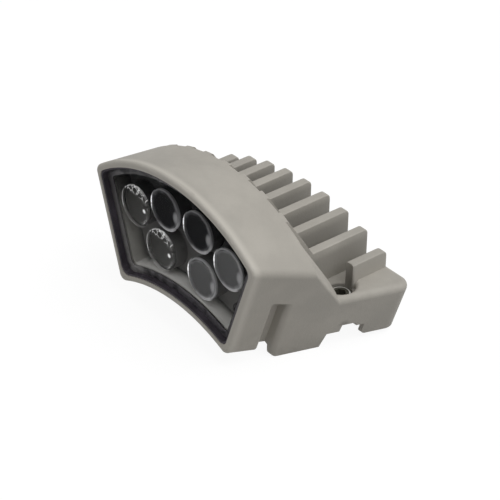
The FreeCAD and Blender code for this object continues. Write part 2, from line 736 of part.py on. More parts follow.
def inlet_ring():
    face = inlet_face() - INLET_RING_T
    return rod(INLET_FLANGE_R, 0, INLET_Y, face, INLET_RING_T, UP).cut(rod(INLET_R, 0, INLET_Y, 0, FAR, UP))


def inlet_grommet():
    """Rubber sleeve inside the bush that grips the lead."""
    low = inlet_face() - INLET_RING_T - INLET_FLANGE_T
    sleeve = rod(INLET_BORE_R, 0, INLET_Y, low, POCKET_LOW - low - 1, UP)
    return sleeve.cut(rod(LEAD_R, 0, INLET_Y, 0, FAR, UP))


def mounting_screw():
    """Socket head screw: chamfered head with a hexagonal socket, plain shank with a chamfered tip."""
    top = SCREW_TOP_Z
    under = top - SCREW_HEAD_H
    head = rod(SCREW_HEAD_R, SCREW_X, SCREW_Y, under, SCREW_HEAD_H, UP)
    head = head.makeChamfer(0.5, edges_where(head, lambda p: abs(p.z - top) < 0.01))
    shank = rod(SCREW_R, SCREW_X, SCREW_Y, under - SCREW_LENGTH, SCREW_LENGTH, UP)
    shank = shank.makeChamfer(0.5, edges_where(shank, lambda p: abs(p.z - under + SCREW_LENGTH) < 0.01))
    socket = hexagon(SOCKET_AF, SCREW_X, SCREW_Y, top - SOCKET_DEPTH, SOCKET_DEPTH + 1, UP)
    return head.fuse(shank).removeSplitter().cut(socket)


def mounting_washer():
    washer = rod(WASHER_R, SCREW_X, SCREW_Y, screw_seat(), WASHER_T, UP)
    return washer.cut(rod(SCREW_R + 0.2, SCREW_X, SCREW_Y, 0, FAR, UP))


def nodes():
    """Every node's name with its solid or solids."""
    pieces = {"housing": housing(), "window_glass": window_glass(), "glazing_bead": glazing_bead(),
              "window_mask": window_mask(), "window_seal": window_seal(), "led_board": led_board(),
              "thermal_pad": thermal_pad(), "board_screws": board_screws(), "driver_board": driver_board(),
              "driver_chip": driver_chip(), "driver_coil": driver_coil(),
              "driver_capacitors": driver_capacitors(), "driver_link": driver_link(),
              "driver_screws": driver_screws(), "inlet_bush": inlet_bush(), "inlet_ring": inlet_ring(),
              "inlet_grommet": inlet_grommet(), "mounting_screws": both_sides(mounting_screw()),
              "mounting_washers": both_sides(mounting_washer())}
    for k, (x, z) in enumerate(lens_places(), 1):
        pieces["lens_%d" % k] = lens(x, z)
        pieces["holder_%d" % k] = holder(x, z)
        pieces["led_%d" % k] = emitter(x, z)
    return pieces


def export(name, piece):
    """Move a node into the part's own frame and write it."""
    shape = Part.makeCompound(piece) if isinstance(piece, list) else piece
    shape.translate(V(0, -FOOTPRINT_Y, -FOOT_Z))
    shape.exportStep("parts/%s.step" % name)


os.makedirs("parts", exist_ok=True)
for node_name, node_piece in nodes().items():
    export(node_name, node_piece)
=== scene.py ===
"""Finishes for a finned infrared illuminator: powder coated casting, window, lenses, screws and studio."""

import math

import bpy
import numpy as np
from mathutils import Matrix, Vector


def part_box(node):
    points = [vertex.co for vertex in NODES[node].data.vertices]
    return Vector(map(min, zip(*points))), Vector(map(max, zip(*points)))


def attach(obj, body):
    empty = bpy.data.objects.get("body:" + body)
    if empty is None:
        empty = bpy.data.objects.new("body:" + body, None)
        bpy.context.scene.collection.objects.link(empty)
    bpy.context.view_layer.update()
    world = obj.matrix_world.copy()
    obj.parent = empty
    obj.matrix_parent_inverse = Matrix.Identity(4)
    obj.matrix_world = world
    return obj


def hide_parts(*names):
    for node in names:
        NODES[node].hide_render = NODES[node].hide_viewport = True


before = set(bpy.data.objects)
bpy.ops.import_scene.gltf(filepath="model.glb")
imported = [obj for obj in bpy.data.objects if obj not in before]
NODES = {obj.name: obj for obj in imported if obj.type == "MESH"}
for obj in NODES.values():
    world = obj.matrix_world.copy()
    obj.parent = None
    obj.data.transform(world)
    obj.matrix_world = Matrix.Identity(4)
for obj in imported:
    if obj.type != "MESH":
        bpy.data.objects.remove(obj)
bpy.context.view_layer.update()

bl_info = {
    "name": "Infrared illuminator",
    "version": (1, 0, 0),
    "blender": (4, 5, 0),
    "location": "3D View > Sidebar > Illuminator",
    "description": "Dresses the packed illuminator with its finishes, lenses, screws and studio",
    "category": "Object",
}

BODY = "root"
MM = 0.001

# Places on the casting, in metres
CROWN_R, CROWN_Z = 0.0901, -0.0097  # arc over the window: radius, height of its middle
SADDLE_R, SADDLE_Z = 0.0915, -0.0715  # arc under the window, the same
SIDE_X, SIDE_LEAN = 0.0342, 0.34  # sides of the window: half width at the floor's level, lean
FIN_ARC_R, FIN_ARC_Z = 0.1255, -0.0734  # arc below the fins' tops: radius, height of its middle
SCREW_X, SCREW_Y, SCREW_TOP = 0.0536, 0.0141, 0.0272  # mounting screws

# Fades in metres: where each one starts and where it ends
LIGHT_FADE = 0.022, 0.066  # height in the chamber, from pale to dark, for its painted light and shade
EDGE_FADE = 0.0012, 0.003  # inwards from the window's left edge
LEFT_FADE = -0.03, -0.02  # across the window's left part
INSET_NEAR, INSET_FAR = 0.0022, 0.0027  # from the window's outline to the chamber's walls
SHELF_FADE = SADDLE_R + 0.0045, SADDLE_R + 0.0055  # from the saddle's middle
WALL_FADE = -0.0325, -0.0278  # along Y, to the board's tone
RIM_HIGHLIGHT_FADE = -0.0405, -0.0368  # along Y, over the window's rim, where a highlight is painted
GAP_FADE = FIN_ARC_R - 0.004, FIN_ARC_R  # between the fins, from the arc's middle, for the painted shade there
GAP_START_FADE, GAP_SIDE_FADE = (-0.0105, -0.008), (0.046, 0.05)  # along Y, and out from the middle
POCKET_FADE = 0.0058, 0.0073  # from a mounting screw's axis, for the painted shade in its pocket
POCKET_FOOT_FADE, POCKET_MOUTH_FADE = (0.012, 0.014), (0.03, 0.046)  # height
HEAD_FADE = SCREW_TOP - 0.0045, SCREW_TOP - 0.004  # height, where the screw heads' painted highlight starts
FACE_FADE = 0.004, 0.0043  # from a mounting screw's axis, for the painted shade on its head's face

# Lenses: profile points are radius and depth in millimetres
LENS_COUNT = 6
LENS_R = 0.0108
LENS_SEGMENTS = 120
LENS_FRONT = ((0.0, 0.42), (2.4, 0.40), (4.8, 0.36), (7.0, 0.32), (8.5, 0.3), (9.0, 0.22), (9.3, 0.05),
              (9.6, 0.0), (10.3, 0.0), (10.6, 0.08), (10.78, 0.3), (10.8, 0.9), (10.75, 1.2), (10.6, 1.3),
              (9.3, 1.3))
LENS_FOOT = ((4.6, 7.45), (4.6, 7.95), (4.5, 8.0), (2.85, 8.0), (2.75, 7.9))
CONE_R, CONE_LOSS, CONE_BOW = 9.0, 4.4, 3.1  # radius at the rim, what it loses on the way to the foot, bow
CONE_START, CONE_LENGTH = 1.3, 6.1
WELL_R, WELL_DEPTH, WELL_DOME = 2.75, 5.5, 0.7
RIM_START_R, RIM_DEPTH = 9.5, 1.28  # where the rim starts, and how deep the front finish goes
RIM_STEP, RIM_STEEPNESS = 0.02, 9  # half the rim's step as a part of its radius, and how steep it is
NOTCH_ANGLES, NOTCH_DEPTH, NOTCH_WIDTH = (135, -45), 0.055, 0.08  # degrees, part of the radius, radians
CLEAR_HAZE = {1: 0.025, 5: 0.055}  # the clear lenses and their least haze; the fifth's is more, painting it paler as lit
# The satin lenses are alike: the shaded ones take their finish with painted shade, the others with painted
# light
SHADED_LENSES = (2, 3)
SHADED_SATIN = (0.014, 0.014, 0.0155), 1.05  # body colour and refractive index, painted darker for the shaded lenses
LIT_SATIN = (0.045, 0.045, 0.046), 1.3

# Colours used in more than one finish
# Pale colour painted as light at the window's left, on the print and the seal
LEFT_LIGHT = (0.2, 0.194, 0.19)
BLACK, WHITE = (0.0, 0.0, 0.0), (1.0, 1.0, 1.0)

# Studio
CAMERA_PLACE = (0.72227, -0.609165, 0.654458)
CAMERA_RIGHT = (0.63741303, 0.77039695, 0.0138983)
CAMERA_UP = (-0.43201253, 0.34238765, 0.83434757)
CAMERA_BACK = (0.63802023, -0.53782825, 0.55106348)
CAMERA_SHIFT = 0.016, -0.007
LAMPS = (("key", (0.65, 0.3, 1.25), 1.5, 1.0),  # name, place, side, share of the key power
         ("side", (-1.2, -1.0, 0.7), 1.0, 0.06))
LAMP_AIM = (0, 0, 0.03)
FLOOR_GLOW, FLOOR_SHARE = 1.06, 0.87  # strength and share of the glow that the camera sees on the floor


# Shader maths


class Sock:
    """A shader socket whose arithmetic adds Math nodes."""

    def __init__(self, graph, socket):
        self.graph, self.socket = graph, socket

    def _math(self, operation, *values, clamp=False):
        return self.graph.add("ShaderNodeMath", {"operation": operation, "use_clamp": clamp}, values)

    def __add__(self, other):
        return self._math("ADD", self, other)

    __radd__ = __add__

    def __sub__(self, other):
        return self._math("SUBTRACT", self, other)

    def __rsub__(self, other):
        return self._math("SUBTRACT", other, self)

    def __mul__(self, other):
        return self._math("MULTIPLY", self, other)

    __rmul__ = __mul__

    def root(self):
        return self._math("SQRT", self)

    def clamp(self):
        return self._math("ADD", self, 0.0, clamp=True)

    def absolute(self):
        return self._math("ABSOLUTE", self)

    def smooth(self, low, high):
        """0 below low, 1 above high, smooth between."""
        settings = {"interpolation_type": "SMOOTHSTEP"}
        inputs = {"Value": self, "From Min": low, "From Max": high, "To Min": 0.0, "To Max": 1.0}
        return self.graph.add("ShaderNodeMapRange", settings, inputs)


class Graph:
    """Node tree of one material, with one method that adds any node."""

    FACTOR, FIRST, SECOND, MIXED = 0, 6, 7, 2  # sockets of a Mix node on colours

    def __init__(self, tree):
        self.tree = tree
        tree.nodes.clear()

    def add(self, kind, settings=None, inputs=None, out=0):
        """Adds a node with its settings, then the values or links of its sockets, listed in order or given by
        number or name. Gives the output named by out, or several where out is a tuple."""
        node = self.tree.nodes.new(kind)
        for key, value in (settings or {}).items():
            setattr(node, key, value)
        pairs = enumerate(inputs) if isinstance(inputs, tuple) else (inputs or {}).items()
        for key, value in pairs:
            if isinstance(value, Sock):
                self.tree.links.new(value.socket, node.inputs[key])
            else:
                node.inputs[key].default_value = value
        if isinstance(out, tuple):
            return tuple(Sock(self, node.outputs[key]) for key in out)
        return Sock(self, node.outputs[out]) if node.outputs else None

    def point(self):
        """Object coordinates in metres."""
        return self.add("ShaderNodeTexCoord", out="Object")

    def axes(self, vector):
        return self.add("ShaderNodeSeparateXYZ", None, (vector,), out=(0, 1, 2))

    def stretch(self, vector, scale):
        return self.add("ShaderNodeMapping", None, {"Vector": vector, "Scale": scale})

    def noise(self, vector, per_metre, detail, rough):
        inputs = {"Vector": vector, "Scale": per_metre, "Detail": detail, "Roughness": rough}
        return self.add("ShaderNodeTexNoise", None, inputs)

    def cells(self, vector, per_metre, feature="F1"):
        return self.add("ShaderNodeTexVoronoi", {"feature": feature}, {"Vector": vector, "Scale": per_metre})

    def mix(self, factor, first, second):
        """Colour between first and second."""
        first, second = (c if isinstance(c, Sock) else (*c, 1.0) for c in (first, second))
        inputs = {self.FACTOR: factor, self.FIRST: first, self.SECOND: second}
        return self.add("ShaderNodeMix", {"data_type": "RGBA"}, inputs, self.MIXED)

    def bump(self, height, strength, distance):
        inputs = {"Height": height, "Strength": strength, "Distance": distance}
        return self.add("ShaderNodeBump", None, inputs)

    def principled(self, **values):
        names = {key.replace("_", " "): value for key, value in values.items()}
        if not isinstance(names["Base Color"], Sock):
            names["Base Color"] = (*names["Base Color"], 1.0)
        return self.add("ShaderNodeBsdfPrincipled", None, names)

    def output(self, surface):
        self.add("ShaderNodeOutputMaterial", None, {"Surface": surface})


def away(x, y):
    """Distance of the point x, y from the middle."""
    return (x * x + y * y).root()


def times(colour, factor):
    """The colour made paler or darker."""
    return tuple(min(c * factor, 1.0) for c in colour)


def new_material(name):
    material = bpy.data.materials.new(name)
    material.use_nodes = True
    return material, Graph(material.node_tree)


def dress(material, *names):
    """Gives the material to every slot of the named CAD nodes or pieces."""
    for name in names:
        piece = NODES.get(name) or bpy.data.objects[name]
        if not piece.data.materials:
            piece.data.materials.append(material)
        for slot in piece.material_slots:
            slot.material = material


# Masks and tones on the object's own coordinates


def depth_light(g, p):
    """Painted light in the lens chamber: 0 under the crown of the window, 1 at its saddle."""
    return 1.0 - g.axes(p)[2].smooth(*LIGHT_FADE)


def board_light(g, p):
    """Painted light on the board: near black under the crown, pale grey towards the saddle."""
    return g.mix(depth_light(g, p), (0.022, 0.022, 0.023), (0.19, 0.186, 0.18))


def left_light_mask(g, p):
    """Painted light mask: 1 inside the left edge of the window's outline, more so towards the saddle as the
    chamber's painted light grows.
    """
    x, _, z = g.axes(p)
    inside = (z * SIDE_LEAN + x + SIDE_X).smooth(*EDGE_FADE)
    return inside * (1.0 - x.smooth(*LEFT_FADE)) * (depth_light(g, p) * 0.95 + 0.03)


def in_chamber(g, p):
    """Two masks: the walls of the lens chamber, behind the ledge, before the floor and inside the window's
    outline, and the shelf over its saddle."""
    x, y, z = g.axes(p)
    front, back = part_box("window_seal")[1].y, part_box("thermal_pad")[1].y
    depth = y.smooth(front - 0.0002, front + 0.0001) * (1.0 - y.smooth(back + 0.0001, back + 0.0004))
    top = 1.0 - away(x, z - CROWN_Z).smooth(CROWN_R - INSET_FAR, CROWN_R - INSET_NEAR)
    side = 1.0 - (x.absolute() - z * SIDE_LEAN).smooth(SIDE_X - INSET_FAR, SIDE_X - INSET_NEAR)
    low = away(x, z - SADDLE_Z)
    shelf = 1.0 - low.smooth(*SHELF_FADE)
    return depth * top * side * low.smooth(SADDLE_R + INSET_NEAR, SADDLE_R + INSET_FAR), shelf


def wall_light(g, p, shelf):
    """Painted light and shade on the chamber walls: near black under the crown, pale towards the saddle,
    palest on the shelf, and like the board at the back."""
    light = depth_light(g, p)
    wall = g.mix(light, (0.014, 0.014, 0.014), (0.4, 0.392, 0.365))
    wall = g.mix(shelf * light.smooth(0.2, 0.6), wall, (0.88, 0.87, 0.835))
    return g.mix(g.axes(p)[1].smooth(*WALL_FADE), wall, board_light(g, p))


def fin_gap_shade(g, p):
    """Painted shade mask: 1 deep between the fins, below an arc under their tops, and behind the head."""
    x, y, z = g.axes(p)
    below = 1.0 - away(x, z - FIN_ARC_Z).smooth(*GAP_FADE)
    return below * y.smooth(*GAP_START_FADE) * (1.0 - x.absolute().smooth(*GAP_SIDE_FADE))


def pocket_shade(g, p):
    """Painted shade mask: 1 in the recess round each mounting screw, fading towards its mouth."""
    x, y, z = g.axes(p)
    near = 1.0 - away(x.absolute() - SCREW_X, y - SCREW_Y).smooth(*POCKET_FADE)
    return near * (1.0 - z.smooth(*POCKET_MOUTH_FADE)) * z.smooth(*POCKET_FOOT_FADE)


# Finishes


def powder_coat(sizes):
    """Beige-grey fine-textured coat: small orange-peel bumps, fine grain, faint mottling and dulled patches.
    Painted shade darkens it deep between the fins and in the screws' pockets, a painted highlight makes
    the window's rim paler, and painted light takes it from dark to pale down the walls of the lens chamber."""
    material, g = new_material("powder_coat")
    p = g.point()
    mottle = g.noise(p, 42.0, 3.0, 0.6)
    cloud = g.noise(p, 11.0, 2.0, 0.5)
    grain = g.noise(p, 2300.0, 2.0, 0.7)
    peel = g.noise(p, 640.0, 2.0, 0.5)
    speck = g.cells(p, 1500.0)
    base = tuple(sizes.coat_colour)
    warm = tuple(c * k for c, k in zip(base, (1.01, 0.985, 0.95)))
    tint = g.mix(mottle.smooth(0.32, 0.7), times(base, 0.915), times(base, 1.07))
    tint = g.mix(cloud.smooth(0.35, 0.75) * 0.4, tint, warm)
    tint = g.mix(grain.smooth(0.35, 0.72) * 0.22, tint, times(base, 0.8))
    # Painted shade deep between the fins
    tint = g.mix(fin_gap_shade(g, p) * 0.9, tint, times(base, 0.74))
    # Painted shade in the screws' pockets
    tint = g.mix(pocket_shade(g, p) * 0.9, tint, times(base, 0.5))
    # Painted highlight on the window's rim
    tint = g.mix(1.0 - g.axes(p)[1].smooth(*RIM_HIGHLIGHT_FADE), tint, times(base, 1.23))
    # Painted light and shade on the walls of the lens chamber
    inside, shelf = in_chamber(g, p)
    tint = g.mix(inside, tint, wall_light(g, p, shelf))
    normal = g.bump(grain * 0.45 + peel * 0.75 + speck * 0.3, 0.6, 0.00016)
    rough = 0.52 + mottle * 0.1 + grain * 0.06
    g.output(g.principled(Base_Color=tint, Roughness=rough, Normal=normal, Specular_IOR_Level=0.32))
    return material


def clear_window(sizes):
    """Coated clear pane: almost all light passes, and the faintest haze of dust lies on it."""
    material, g = new_material("window")
    film = g.noise(g.point(), 160.0, 4.0, 0.65).smooth(0.5, 0.85)
    g.output(g.principled(Base_Color=(0.2, 0.205, 0.204), Roughness=film * 0.05 + 0.3,
                          IOR=sizes.pane_index, Alpha=film * 0.012 + 0.012))
    return material


def rubber(name, base, bumps, left_light=None):
    """Matt black rubber with a dusty bloom and fine bumps. Where a colour for the window's left is given, the
    rubber takes it there as painted light, more so towards the saddle."""
    material, g = new_material(name)
    p = g.point()
    bloom = g.noise(p, 90.0, 4.0, 0.6)
    grain = g.noise(p, bumps, 2.0, 0.6)
    tint = g.mix(bloom.smooth(0.4, 0.8) * 0.6, base, tuple(c * 1.7 + 0.006 for c in base))
    if left_light:
        # Painted light at the window's left
        tint = g.mix(left_light_mask(g, p), tint, left_light)
    g.output(g.principled(Base_Color=tint, Roughness=0.62 + bloom * 0.14,
                          Normal=g.bump(grain, 0.35, 0.00008), Specular_IOR_Level=0.4))
    return material


def mask_print(sizes):
    """Black ceramic print behind the pane: slightly purple, with a faint screen of dots. Painted shade makes
    it darker under the crown, and painted light makes it paler at the left, more so towards the saddle."""
    material, g = new_material("black_mask")
    p = g.point()
    cloud = g.noise(p, 60.0, 3.0, 0.6)
    dots = g.cells(p, 2600.0)
    base = tuple(sizes.mask_colour)
    tint = g.mix(cloud.smooth(0.35, 0.75), times(base, 0.8), times(base, 1.25))
    # Painted shade under the crown
    tint = g.mix(0.85 - depth_light(g, p) * 0.85, tint, times(base, 0.42))
    tint = g.mix(dots.smooth(0.1, 0.5) * 0.25, tint, times(base, 1.6))
    # Painted light at the window's left
    tint = g.mix(left_light_mask(g, p), tint, LEFT_LIGHT)
    g.output(g.principled(Base_Color=tint, Roughness=0.42 + cloud * 0.1))
    return material


def plastic(name, base, rough, bumps=900.0):
    """Moulded plastic or lacquer with slight flow marks and a fine spark texture."""
    material, g = new_material(name)
    p = g.point()
    flow = g.noise(g.stretch(p, (1.0, 0.3, 1.0)), 70.0, 3.0, 0.55)
    spark = g.noise(p, bumps, 3.0, 0.65)
    tint = g.mix(flow.smooth(0.35, 0.75), times(base, 0.85), times(base, 1.15))
    g.output(g.principled(Base_Color=tint, Roughness=rough + spark * 0.12,
                          Normal=g.bump(spark, 0.3, 0.00005)))
    return material


def circuit_board():
    """Matt solder mask over a fine weave, with painted light that makes it paler towards the window's saddle.
    """
    material, g = new_material("circuit_board")
    p = g.point()
    weave = g.add("ShaderNodeTexWave", {"wave_type": "BANDS"}, {0: p, "Scale": 900.0}, out=1)
    cloud = g.noise(p, 50.0, 3.0, 0.6)
    tint = g.mix(cloud.smooth(0.4, 0.8) * 0.15, board_light(g, p), (0.03, 0.032, 0.031))
    g.output(g.principled(Base_Color=tint, Roughness=0.6 + cloud * 0.12, Specular_IOR_Level=0.25,
                          Normal=g.bump(weave, 0.2, 0.00003)))
    return material


def lens_place(g, centre):
    """Object coordinates moved to a lens's middle and counted in lens radii, with how far across, how far up
    and how far from the middle they are."""
    inputs = {"Vector": g.point(), "Location": tuple(-c / LENS_R for c in centre), "Scale": (1 / LENS_R,) * 3}
    spot = g.add("ShaderNodeMapping", {"vector_type": "POINT"}, inputs)
    across, _, up = g.axes(spot)
    return spot, across, up, away(across, up)


def rim_light(across, up, far, waves, reach):
    """Painted highlight: a bright crescent at the left of a moulded rim, reach lens radii wide and wavy
    inside, with a thin fainter line round the lower left."""
    left = (0.0 - across).smooth(0.84, 0.97)
    crescent = (far + left * reach + waves * 0.03).smooth(0.98, 1.0) * left
    below = far.smooth(0.95, 0.97) * (0.0 - up * 0.75 - across * 0.65).smooth(0.1, 0.6)
    return (crescent + below * (0.08 + waves * 0.3)).clamp()


def lens_satin(name, centre, body, gloss):
    """Satin optical plastic: dark smooth middle with painted reflections, a paler wavy edge band, faint arcs
    at the top and lower right and a soft pale oval at the right, and a bright crescent of painted highlight
    that glows, broken by nicks. Gloss is the refractive index."""
    material, g = new_material(name)
    spot, across, up, far = lens_place(g, centre)
    waves = g.noise(spot, 2.6, 2.0, 0.5)
    cloud = g.noise(spot, 1.3, 1.0, 0.5)
    nicks = g.noise(spot, 6.5, 2.0, 0.5)
    # Painted reflections: a paler band round the edge, arcs low and at the top, and a pale oval at the right
    sheen_band = (far + cloud * 0.2 + waves * 0.14).smooth(0.86, 1.12) * (0.6 + across.smooth(-0.5, 0.2) * 0.45)
    low = (far + waves * 0.06).smooth(0.86, 0.92) * (across * 0.45 - up * 0.9).smooth(0.4, 0.95)
    top = (far + waves * 0.06).smooth(0.9, 0.96) * (up * 0.94 - across * 0.34).smooth(0.6, 0.95)
    side_x, side_z = across - 0.72, up + 0.06
    oval = (side_x * side_x + side_z * side_z * 0.45).root()
    reflection_patch = 1.0 - (oval + cloud * 0.16).smooth(0.16, 0.36)
    # Painted highlight: the bright crescent
    white = rim_light(across, up, far, waves, 0.2) * (0.45 + nicks.smooth(0.34, 0.56) * 0.6).clamp()
    tint = g.mix(sheen_band, body, tuple(c * 4.5 + 0.15 for c in body))
    tint = g.mix(reflection_patch, tint, (0.42, 0.42, 0.43))
    tint = g.mix(low * (0.4 + waves * 0.9), tint, (0.66, 0.66, 0.67))
    tint = g.mix(top * (0.3 + waves * 0.5), tint, (0.46, 0.46, 0.47))
    tint = g.mix(white, tint, (0.95, 0.95, 0.96))
    # The crescent's painted highlight also glows through the emission
    g.output(g.principled(Base_Color=tint, Roughness=0.2 + cloud * 0.06, IOR=gloss,
                          Emission_Color=g.mix(white, BLACK, WHITE), Emission_Strength=0.95,
                          Normal=g.bump(waves * sheen_band, 0.25, 0.0002)))
    return material


def lens_clear(name, centre, least):
    """Clear optical plastic: see-through middle with a haze that starts at least, and bright lines of painted
    highlight that glow faintly. They are cracked glints near the upper edge, a thin edge above, dashes and a
    double line at the right, one small star, and the crescent at the left, which stays on the lip."""
    material, g = new_material(name)
    spot, across, up, far = lens_place(g, centre)
    waves = g.noise(spot, 3.4, 2.0, 0.5)
    crackle = g.noise(g.stretch(spot, (1.6, 1.0, 1.3)), 2.6, 2.0, 0.6)
    cracks = 1.0 - g.cells(spot, 3.6, "DISTANCE_TO_EDGE").smooth(0.02, 0.09)
    lines = cracks * crackle.smooth(0.36, 0.48) * far.smooth(0.48, 0.62)
    glints = lines * (up * 0.99 + across * 0.12).smooth(0.42, 0.62)
    edge = far.smooth(0.92, 0.94) * up.smooth(0.45, 0.85) * (0.1 + waves * 0.5)
    chain = (1.0 - (far + waves * 0.05 - 0.88).absolute().smooth(0.012, 0.03)) * across.smooth(0.35, 0.65)
    dashes = chain * crackle.smooth(0.42, 0.52)
    ring = 1.0 - (far - 0.78).absolute().smooth(0.01, 0.026)
    double = ring * (across * 0.8 - up * 0.6).smooth(0.6, 0.9)
    star = 1.0 - away(across - 0.56, up + 0.02).smooth(0.05, 0.13)
    lip = 1.0 - g.axes(spot)[1].smooth(-0.338, -0.318)
    white = rim_light(across, up, far, waves, 0.015) * lip
    # All the painted highlights of the lens, shown through a glowing pale finish
    glint_paint = (glints * 0.7 + edge + dashes * 0.4 + double * 0.3 + star + white).clamp()
    haze = (across * 0.6 - up * 0.4).smooth(-0.7, 0.9)
    clear = g.principled(Base_Color=(0.75, 0.75, 0.73), Roughness=0.12, IOR=1.2, Alpha=haze * 0.08 + least)
    sheen = g.mix(waves, (0.8, 0.8, 0.8), (0.97, 0.97, 0.96))
    # The painted glints glow through the emission
    bright = g.principled(Base_Color=sheen, Roughness=0.25, Emission_Color=sheen, Emission_Strength=0.4)
    g.output(g.add("ShaderNodeMixShader", None, (glint_paint, clear, bright)))
    return material


def lens_back(name, base):
    """Shadowed rear of a lens, faintly streaked where the cone was polished."""
    material, g = new_material(name)
    streak = g.noise(g.stretch(g.point(), (1.0, 4.0, 1.0)), 240.0, 2.0, 0.6)
    g.output(g.principled(Base_Color=g.mix(streak, times(base, 0.6), base),
                          Roughness=0.4 + streak * 0.2, Specular_IOR_Level=0.2))
    return material


def emitter():
    """Pale ceramic base and clear gel of an infrared emitter."""
    material, g = new_material("emitter")
    chip = g.cells(g.point(), 700.0)
    tint = g.mix(chip.smooth(0.1, 0.6), (0.62, 0.56, 0.38), (0.82, 0.8, 0.7))
    g.output(g.principled(Base_Color=tint, Roughness=0.2 + chip * 0.2, Coat_Weight=0.6))
    return material


def screw_steel(sizes):
    """Satin stainless steel with fine turning marks and a thin oily stain. A mounting screw's head is a
    bright ring of painted highlight round a face darkened by painted shade."""
    material, g = new_material("screw_steel")
    p = g.point()
    scratch = g.noise(g.stretch(p, (1.0, 1.0, 14.0)), 700.0, 3.0, 0.7)
    stain = g.noise(p, 260.0, 3.0, 0.6)
    base = tuple(sizes.steel_colour)
    x, y, z = g.axes(p)
    # Painted highlight over the screw heads' tops and painted shade on their middle faces
    head = z.smooth(*HEAD_FADE)
    face = head * (1.0 - away(x.absolute() - SCREW_X, y - SCREW_Y).smooth(*FACE_FADE))
    tint = g.mix(stain.smooth(0.4, 0.75) * 0.5, base, times(base, 0.62))
    tint = g.mix(head, tint, (0.95, 0.94, 0.9))
    tint = g.mix(face, tint, (0.06, 0.058, 0.045))
    g.output(g.principled(Base_Color=tint, Metallic=1.0 - head * 0.75,
                          Roughness=face * 0.25 + 0.12 + scratch * 0.1 + stain * 0.06,
                          Normal=g.bump(scratch, 0.2, 0.00003)))
    return material


def cup_plastic():
    """Matt black cups, with painted light that makes them paler towards the window's saddle like the board
    behind them.
    """
    material, g = new_material("holder_plastic")
    p = g.point()
    spark = g.noise(p, 900.0, 3.0, 0.65)
    g.output(g.principled(Base_Color=board_light(g, p), Roughness=0.55 + spark * 0.1, Specular_IOR_Level=0.25,
                          Normal=g.bump(spark, 0.2, 0.00004)))
    return material


def can_metal():
    """Rolled aluminium can with fine draw lines along it."""
    material, g = new_material("capacitor_can")
    lines = g.noise(g.stretch(g.point(), (8.0, 1.0, 8.0)), 900.0, 2.0, 0.6)
    g.output(g.principled(Base_Color=g.mix(lines, (0.55, 0.56, 0.58), (0.76, 0.76, 0.77)), Metallic=1.0,
                          Roughness=0.25 + lines * 0.2))
    return material


# Surfaces


def revolved(name, profile, centre, segments, limit, rim):
    """Surface of revolution. The profile is pairs (radius, depth along +Y); each pair is carried once round
    the axis through centre, point = centre + (r cos a, depth, r sin a), where rim(a) scales the radii over
    limit. First and last pairs lie on the axis, so the skin is closed by two fans."""
    r, d = np.asarray(profile, float).T
    a = np.linspace(0.0, 2 * math.pi, segments, endpoint=False)
    radius = r[:, None] * np.where(r[:, None] > limit, rim(a)[None, :], 1.0)
    x = radius * np.cos(a) + centre[0]
    z = radius * np.sin(a) + centre[2]
    y = np.repeat(d[:, None], segments, axis=1) + centre[1]
    inner = np.stack([x, y, z], -1)[1:-1]
    rows = inner.shape[0]
    poles = [[centre[0], centre[1] + depth, centre[2]] for depth in (d[0], d[-1])]
    verts = np.concatenate([inner.reshape(-1, 3), poles])
    k = np.arange(segments)
    nxt = (k + 1) % segments
    row = (np.arange(rows - 1) * segments)[:, None]
    quads = np.stack([row + k, row + nxt, row + segments + nxt, row + segments + k], -1).reshape(-1, 4)
    first, last = rows * segments, rows * segments + 1
    base = (rows - 1) * segments
    top = np.stack([np.full(segments, first), nxt, k], -1)
    bottom = np.stack([np.full(segments, last), base + k, base + nxt], -1)
    return skin(name, verts, [*quads.tolist(), *top.tolist(), *bottom.tolist()])


def skin(name, verts, faces):
    """Mesh object at the origin from points in metres, smooth shaded, its faces turned outwards."""
    mesh = bpy.data.meshes.new(name)
    mesh.from_pydata(np.asarray(verts, float).tolist(), [], faces)
    mesh.validate()
    flip_if_inside_out(mesh)
    mesh.shade_smooth()
    piece = bpy.data.objects.new(name, mesh)
    bpy.context.scene.collection.objects.link(piece)
    return piece


def flip_if_inside_out(mesh):
    """Turns every face round if the signed volume, the sum of corner products over triangles, is negative."""
    mesh.calc_loop_triangles()
    co = np.zeros(len(mesh.vertices) * 3)
    mesh.vertices.foreach_get("co", co)
    co = co.reshape(-1, 3)
    tri = np.zeros(len(mesh.loop_triangles) * 3, np.int32)
    mesh.loop_triangles.foreach_get("vertices", tri)
    a, b, c = (co[tri.reshape(-1, 3)[:, i]] for i in range(3))
    if np.einsum("ij,ij->", a, np.cross(b, c)) < 0:
        mesh.flip_normals()


def middle_of(node):
    low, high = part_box(node)
    return (low + high) / 2


def lens_rim(a):
    """Scale of the rim's radius at the angles a: 1 less a step times a steep s-curve of sin(a + 45 degrees),
    so one half stands a little lower than the other, with a notch at each change."""
    half = np.sin(a + math.pi / 4)
    notch = RIM_STEP * (1 + np.tanh(half * RIM_STEEPNESS))
    for place in NOTCH_ANGLES:
        turn = (a - math.radians(place) + math.pi) % (2 * math.pi) - math.pi
        notch = np.maximum(notch, NOTCH_DEPTH * np.exp(-((turn / NOTCH_WIDTH) ** 4)))
    return 1.0 - notch


